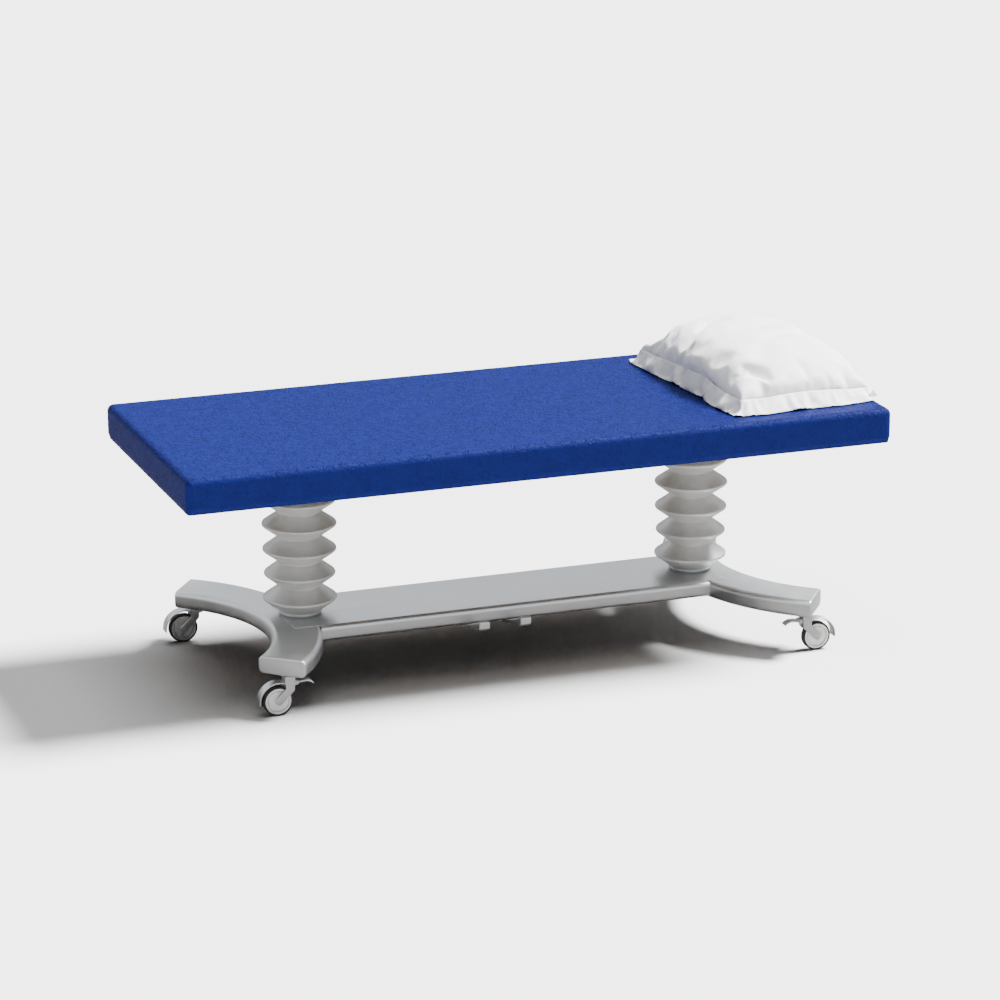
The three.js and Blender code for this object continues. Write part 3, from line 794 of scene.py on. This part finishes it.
def add_pillow():
    places, faces, bag = simulate_pillow()
    inside = set(bag)
    bag_faces = [face for face in faces if all(corner in inside for corner in face)]
    flange_faces = [face for face in faces if not all(corner in inside for corner in face)]
    body = pillow_sheet("pillow_bag", places, bag_faces)
    flange = pillow_sheet("pillow_flange", places, flange_faces)
    thickness = flange.modifiers.new("cloth", "SOLIDIFY")
    thickness.thickness = FLANGE_THICKNESS
    thickness.offset = 0
    for sheet in (body, flange):
        finer = sheet.modifiers.new("finer", "SUBSURF")
        finer.levels = 1
        finer.render_levels = 1
        apply_modifiers(sheet, 180)
    pillow = join("pillow_case", [body, flange])
    settle(pillow, COTTON, "pillow", "pillowcase", "pillow")


# ------------------------------------------------------------------ columns
COLUMN_X = 0.546
FOLD_HEIGHTS = (0.1987, 0.2642, 0.3293, 0.3968, 0.4625)
FOLD_RADII = (0.0960, 0.0925, 0.0959, 0.0972, 0.0972)
NECK_RADIUS = 0.0545
CUFF_RADIUS = 0.0565
CUFF_HEIGHT = 0.006
BELLOWS_FOOT = 0.166
BELLOWS_HEAD = 0.495
TIP_ROUNDING = 0.005
NECK_ROUNDING = 0.0018
BELLOWS_WALL = 0.0025


def bellows_outline():
    """The wall of a bellows in (radius, height): a plain cuff at each end of five folds."""
    tip_extra = TIP_ROUNDING * 0.62
    outside = [(CUFF_RADIUS, BELLOWS_FOOT - CUFF_HEIGHT), (CUFF_RADIUS, BELLOWS_FOOT)]
    rounding = [0.0006, 0.002]
    for i, (height, radius) in enumerate(zip(FOLD_HEIGHTS, FOLD_RADII)):
        outside.append((radius + tip_extra, height))
        rounding.append(TIP_ROUNDING)
        if i + 1 < len(FOLD_HEIGHTS):
            outside.append((NECK_RADIUS - 0.001, (height + FOLD_HEIGHTS[i + 1]) / 2))
            rounding.append(NECK_ROUNDING)
    outside += [(CUFF_RADIUS, BELLOWS_HEAD), (CUFF_RADIUS, BELLOWS_HEAD + CUFF_HEIGHT)]
    rounding += [0.002, 0.0006]
    inside = [(radius - BELLOWS_WALL, height) for radius, height in reversed(outside)]
    return fillet(outside + inside, rounding + list(reversed(rounding)), steps=6)


def add_bellows():
    outline = bellows_outline()
    for end, side in ENDS:
        piece = lathe(f"bellows_skin_{end}", outline, (side * COLUMN_X, 0, 0), segments=128)
        piece.data.materials.append(BELLOWS)
        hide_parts(f"bellows_{end}")
        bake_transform(piece)


# ------------------------------------------------------------------ base
LEG_TURN = math.radians(5.8)
LEG_MIDDLE_X = 0.711
LEG_CENTRE_X = 1.052
LEG_RADIUS = 0.450
LEG_HALF_WIDTH = 0.065
LEG_HALF_ANGLE = 47.5
LEG_BOTTOM = 0.107
LEG_TOP = 0.154
LEG_WALL = 0.010
LEG_POCKETS = ((-37, -20), (-19, -3.5), (-2.5, 19), (20, 37))    # hollows underneath, in degrees
LEG_TIP_ROUNDING = 0.0045
EDGE_ROUNDING = 0.015
STEM_X = 0.725
STEM_Y = 0.320
STEM_HOLE_RADIUS = 0.0123
STEM_HOLE_TOP = 0.141
BEAM_HALF_WIDTH = 0.1345
BEAM_LOWER_ROUNDING = 0.009
BEAM_BOTTOM = 0.114
BEAM_TOP = 0.155
TONGUE_END = 0.600
TONGUE_HALF_LENGTH = 0.040
TONGUE_HALF_WIDTH = 0.1195
TONGUE_BOTTOM = 0.1493


def leg_place(side, x, y):
    """Where a point of a square leg lands once that leg is turned about its middle."""
    outward = side * (x - STEM_X)
    c, s = math.cos(LEG_TURN), math.sin(LEG_TURN)
    return side * LEG_MIDDLE_X + outward * c - y * s, outward * s + y * c


def leg_sweep(name, side, outline, start, end, steps):
    """A (radius, height) outline swept along the leg's arc, between two angles in degrees."""
    rings = []
    for i in range(steps + 1):
        angle = math.radians(start + (end - start) * i / steps)
        c, s = math.cos(angle), math.sin(angle)
        rings.append([(*leg_place(side, LEG_CENTRE_X - r * c, r * s), z) for r, z in outline])
    return loft(name, rings)


def add_leg(end, side):
    """A bowed casting with hollows and caster holes underneath and a seat for the beam on top."""
    middle = (LEG_TOP + LEG_BOTTOM) / 2
    section = rectangle(LEG_HALF_WIDTH, (LEG_TOP - LEG_BOTTOM) / 2, LEG_RADIUS, middle)
    outline = fillet(section, EDGE_ROUNDING, 9)
    leg = leg_sweep(f"leg_casting_{end}", side, outline, -LEG_HALF_ANGLE, LEG_HALF_ANGLE, 96)
    bevel(leg, LEG_TIP_ROUNDING, 4, over_degrees=60)
    pocket = fillet(rectangle(LEG_HALF_WIDTH - LEG_WALL, 0.020, LEG_RADIUS, 0.122), 0.003, 2)
    tools = [leg_sweep("pocket", side, pocket, start, stop, 16) for start, stop in LEG_POCKETS]
    hole = fillet([(0, 0.09), (STEM_HOLE_RADIUS, 0.09),
                   (STEM_HOLE_RADIUS, STEM_HOLE_TOP), (0, STEM_HOLE_TOP)], 0.0, 1)
    for _, row in ROWS:
        centre = (*leg_place(side, STEM_X, row * STEM_Y), 0)
        tools.append(lathe("hole", hole, centre, segments=40))
    x0, x1 = sorted((side * 0.50, side * (TONGUE_END + CLEARANCE)))
    recess = rectangle((x1 - x0) / 2, TONGUE_HALF_WIDTH + CLEARANCE, (x0 + x1) / 2, 0)
    tools.append(prism("recess", recess, "Z", TONGUE_BOTTOM - CLEARANCE, 0.170))
    boolean(leg, tools)
    settle(leg, SILVER_CAST, "base", "silver", f"leg_{end}")


def add_beam():
    """A rounded bar between the legs' round backs, with a flat tongue over each leg."""
    box = rectangle(BEAM_HALF_WIDTH, (BEAM_TOP - BEAM_BOTTOM) / 2, 0, (BEAM_TOP + BEAM_BOTTOM) / 2)
    outline = fillet(box, [EDGE_ROUNDING] * 2 + [BEAM_LOWER_ROUNDING] * 2, 10)
    reach = LEG_RADIUS + LEG_HALF_WIDTH + CLEARANCE

    def end_x(side, y):
        """Where the beam stops against the round back of a leg."""
        centre_x, centre_y = leg_place(side, LEG_CENTRE_X, 0)
        return centre_x - side * math.sqrt(reach ** 2 - (y - centre_y) ** 2)

    steps = 24
    rings = []
    for i in range(steps + 1):
        along = i / steps
        rings.append([(end_x(-1, y) * (1 - along) + end_x(1, y) * along, y, z) for y, z in outline])
    beam = loft("beam_profile", rings)
    tongues = []
    for _, side in ENDS:
        plan = rectangle(TONGUE_HALF_LENGTH, TONGUE_HALF_WIDTH,
                         side * (TONGUE_END - TONGUE_HALF_LENGTH), 0)
        tongues.append(prism("tongue", plan, "Z", TONGUE_BOTTOM, BEAM_TOP))
    boolean(beam, tongues, "UNION")
    bevel(beam, 0.0006, 2, over_degrees=75)
    settle(beam, SILVER_BEAM, "base", "silver", "base_beam")


PEDAL_AXIS = (-0.040, 0.098)
PEDAL_PLACES = (("raise_pedal", -0.1255), ("lower_pedal", -0.0125))
PEDAL_HALF_WIDTH = 0.015
PEDAL_BORE_RADIUS = 0.0051


def add_pedals():
    """Two cast levers, drawn in (Y, Z) from the bored hub out to the upturned toe and back."""
    y, z = PEDAL_AXIS
    outline = [
        (y + 0.010, z - 0.0095), (y + 0.010, z + 0.0100), (y - 0.012, z + 0.0110), (-0.118, 0.1093),
        (-0.135, 0.1162), (-0.160, 0.1250), (-0.185, 0.1340), (-0.212, 0.1445), (-0.2345, 0.1552),
        (-0.242, 0.1520), (-0.242, 0.1355), (-0.2385, 0.1322), (-0.225, 0.1265), (-0.200, 0.1215),
        (-0.170, 0.1185), (-0.150, 0.1135), (-0.131, 0.1050), (-0.120, 0.1024), (y - 0.016, 0.1020),
        (y - 0.006, z - 0.0100),
    ]
    rounding = [0.008, 0.008, 0.02, 0.02, 0.03, 0.06, 0.06, 0.05, 0.004, 0.004,
                0.005, 0.004, 0.03, 0.04, 0.03, 0.03, 0.02, 0.02, 0.008, 0.008]
    shape = fillet(outline, rounding, 5)
    bore = fillet(rectangle(PEDAL_BORE_RADIUS, PEDAL_BORE_RADIUS, y, z), 0.0050, 6)
    for name, x in PEDAL_PLACES:
        lever = prism(f"{name}_lever", shape, "X", x - PEDAL_HALF_WIDTH, x + PEDAL_HALF_WIDTH)
        bevel(lever, 0.0035, 4, over_degrees=50)
        boolean(lever, [prism("bore", bore, "X", x - 0.03, x + 0.03)])
        settle(lever, SILVER_SMALL, name, "silver", name)


# ------------------------------------------------------------------ casters
TRAIL = 0.0295                  # from the swivel's line to the axle
WHEEL_RADIUS = 0.0387
RIM_RADIUS = 0.0337
ARM_RADIUS = 0.0096
ARM_TOP = 0.068                 # where the slanted part of an arm meets the swivel's line
ARM_THICKNESS = 0.004
FORK_TOP = 0.1042
FENDER_RADII = (0.051, 0.0478)
FENDER_START = -6
FENDER_SWEEP = 128
FENDER_HALF_WIDTH = 0.015
BRAKE_PIN = (-0.020, 0.084)


# A caster is drawn about its swivel line with its wheel trailing towards +X, outlines in (X, Z).
def fork_arms():
    """Two flat side arms, each bent from an upright tab down to a round end at the axle."""
    down = math.atan2(WHEEL_RADIUS - ARM_TOP, TRAIL)
    run = Vector((math.cos(down), math.sin(down)))
    across = Vector((-run.y, run.x)) * ARM_RADIUS
    wheel = Vector((TRAIL, WHEEL_RADIUS))
    left, right = wheel - across, wheel + across
    lift_left = (left.x + 0.0118) / run.x
    lift_right = (right.x - 0.0108) / run.x
    outline = [
        (-0.014, FORK_TOP), (0.014, FORK_TOP), tuple(right - run * lift_right),
        tuple(right + run * ARM_RADIUS), tuple(left + run * ARM_RADIUS),
        tuple(left - run * lift_left),
    ]
    rounding = [0.001, 0.001, 0.008, ARM_RADIUS * 0.98, ARM_RADIUS * 0.98, 0.005]
    shape = fillet(outline, rounding, 10)
    return [bevel(prism("arm", shape, "Y", low, low + ARM_THICKNESS), 0.0011, 3, over_degrees=60)
            for low in (-0.0158, 0.0118)]


def fork_fender():
    steps = 40
    angles = [math.radians(FENDER_START + FENDER_SWEEP * i / steps) for i in range(steps + 1)]
    outer, inner = [
        [(TRAIL + radius * math.cos(a), WHEEL_RADIUS + radius * math.sin(a)) for a in angles]
        for radius in FENDER_RADII
    ]
    strip = prism("fender", outer + inner[::-1], "Y", -FENDER_HALF_WIDTH, FENDER_HALF_WIDTH)
    return bevel(strip, 0.0009, 3, over_degrees=50)


def round_bar(name, radius, half_length, centre, rounding, segments):
    """A plain round bar along Y."""
    outline = [(0, -half_length), (radius, -half_length), (radius, half_length), (0, half_length)]
    return lathe(name, fillet(outline, rounding, 2), centre, "Y", segments)


def fork_mesh():
    """Two side arms, a crown and top plate, a curved fender, the axle, and the brake's mounting."""
    arms = fork_arms()
    crown = prism("crown", fillet(rectangle(0.0112, 0.0125), 0.004, 4), "Z", 0.0795, 0.1035)
    plate = bevel(prism("plate", rectangle(0.0138, 0.0156), "Z", 0.1005, FORK_TOP), 0.0008, 2)
    fender = fork_fender()
    axle = round_bar("axle", 0.004, 0.0163, (TRAIL, 0, WHEEL_RADIUS), 0.0006, 32)
    outline = fillet([(-0.011, 0.078), (-0.011, 0.090), (-0.020, 0.0895), (-0.0255, 0.086),
                      (-0.0255, 0.082), (-0.020, 0.0785)], 0.003, 4)
    ears = [bevel(prism("ear", outline, "Y", low, low + 0.003), 0.0006, 2)
            for low in (-0.0115, 0.0085)]
    pin = round_bar("pin", 0.0025, 0.0122, (BRAKE_PIN[0], 0, BRAKE_PIN[1]), 0.0004, 24)
    return join("fork_pattern", arms + [crown, plate, fender, axle, pin] + ears)


def rim_mesh():
    """A dished disc with a hub, and a narrow groove just inside its raised lip."""
    half = [(0.0042, 0.0108), (0.0085, 0.0108), (0.0115, 0.0080), (0.0262, 0.0080),
            (0.0266, 0.0055), (0.0278, 0.0055), (0.0283, 0.0092), (RIM_RADIUS, 0.0092)]
    outline = half + [(r, -h) for r, h in reversed(half)]
    rounding = [0.0004, 0.001, 0.001, 0.0004, 0.0003, 0.0003, 0.0008, 0.0012]
    profile = fillet(outline, rounding + list(reversed(rounding)), 3)
    return lathe("rim_pattern", profile, (TRAIL, 0, WHEEL_RADIUS), "Y", 96, smooth_degrees=30)


def tyre_mesh():
    outline = [(0.0340, -0.0092), (0.0372, -0.0098), (WHEEL_RADIUS, -0.0068),
               (WHEEL_RADIUS, 0.0068), (0.0372, 0.0098), (0.0340, 0.0092)]
    profile = fillet(outline, [0.0005, 0.0025, 0.004, 0.004, 0.0025, 0.0005], 5)
    return lathe("tyre_pattern", profile, (TRAIL, 0, WHEEL_RADIUS), "Y", 128)


def brake_mesh():
    """A foot lever: a curved tread with its lip turned down, a neck, and a hub on the pin."""
    blade = [
        (-0.0275, 0.0833), (-0.0275, 0.0878), (-0.044, 0.0888), (-0.053, 0.0872),
        (-0.0605, 0.0830), (-0.0640, 0.0785), (-0.0615, 0.0770), (-0.057, 0.0810),
        (-0.050, 0.0843), (-0.042, 0.0853),
    ]
    rounding = [0.0005, 0.0005, 0.03, 0.02, 0.012, 0.001, 0.001, 0.012, 0.02, 0.03]
    tread = prism("tread", fillet(blade, rounding, 5), "Y", -0.011, 0.011)
    bevel(tread, 0.0012, 3, over_degrees=50)
    strap = [(-0.020, 0.0815), (-0.020, 0.0868), (-0.030, 0.0874), (-0.030, 0.0836)]
    neck = bevel(prism("neck", strap, "Y", -0.0079, 0.0079), 0.0006, 2)
    tube = [(0.0026, -0.008), (0.0055, -0.008), (0.0055, 0.008), (0.0026, 0.008)]
    hub = lathe("hub", fillet(tube, 0.0005, 2), (BRAKE_PIN[0], 0, BRAKE_PIN[1]), "Y", 32)
    return join("brake_pattern", [tread, neck, hub])


def add_casters():
    """Four casters from one set of patterns: each kind's mesh, material, body and slot."""
    patterns = {
        "fork": (fork_mesh(), SILVER_SMALL, "swivel", "painted_steel"),
        "rim": (rim_mesh(), RIM, "wheel", "rim"),
        "tyre": (tyre_mesh(), TYRE, "wheel", "tyre"),
        "brake": (brake_mesh(), SILVER_SMALL, "brake", "painted_steel"),
    }
    for end, side in ENDS:
        for row, near in ROWS:
            caster = f"caster_{end}_{row}"
            for kind, (pattern, material, body, slot) in patterns.items():
                offset = (*leg_place(side, STEM_X, near * STEM_Y), 0)
                piece = copy_mirrored(f"{caster}_{kind}_detail", pattern, side, offset)
                nodes = [f"{caster}_{kind}"] + ([f"{caster}_axle"] if kind == "fork" else [])
                settle(piece, material, f"{caster}_{body}", slot, *nodes)
    for pattern, _, _, _ in patterns.values():
        bpy.data.objects.remove(pattern)


# ------------------------------------------------------------------ carried-over CAD nodes
def paint_frame_nodes():
    """Procedural finishes for the CAD nodes that stay as they are, by the start of their names."""
    finishes = {
        "pad_board": PLYWOOD,
        "pump_unit": STEEL,
        "pedal_bracket": STEEL,
        "pedal_rod": CHROME,
        "frame_rail": STEEL,
        "cross_channel": STEEL,
        "outer_tube": STEEL,
        "middle_tube": CHROME,
        "inner_tube": CHROME,
        "bellows_seat": STEEL,
        "bellows_hanger": STEEL,
        "ram_cylinder": STEEL,
        "ram_rod": CHROME,
        "oil_pipe": CHROME,
    }
    for name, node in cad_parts.items():
        for start, material in finishes.items():
            if name.startswith(start):
                node.data.materials.clear()
                node.data.materials.append(material)
        if name.endswith("_socket"):
            node.data.materials.clear()
            node.data.materials.append(STEEL)


add_camera()
add_lights()
add_floor()
add_backdrop()
add_pad()
add_pillow()
add_bellows()
for end, side in ENDS:
    add_leg(end, side)
add_beam()
add_pedals()
add_casters()
paint_frame_nodes()
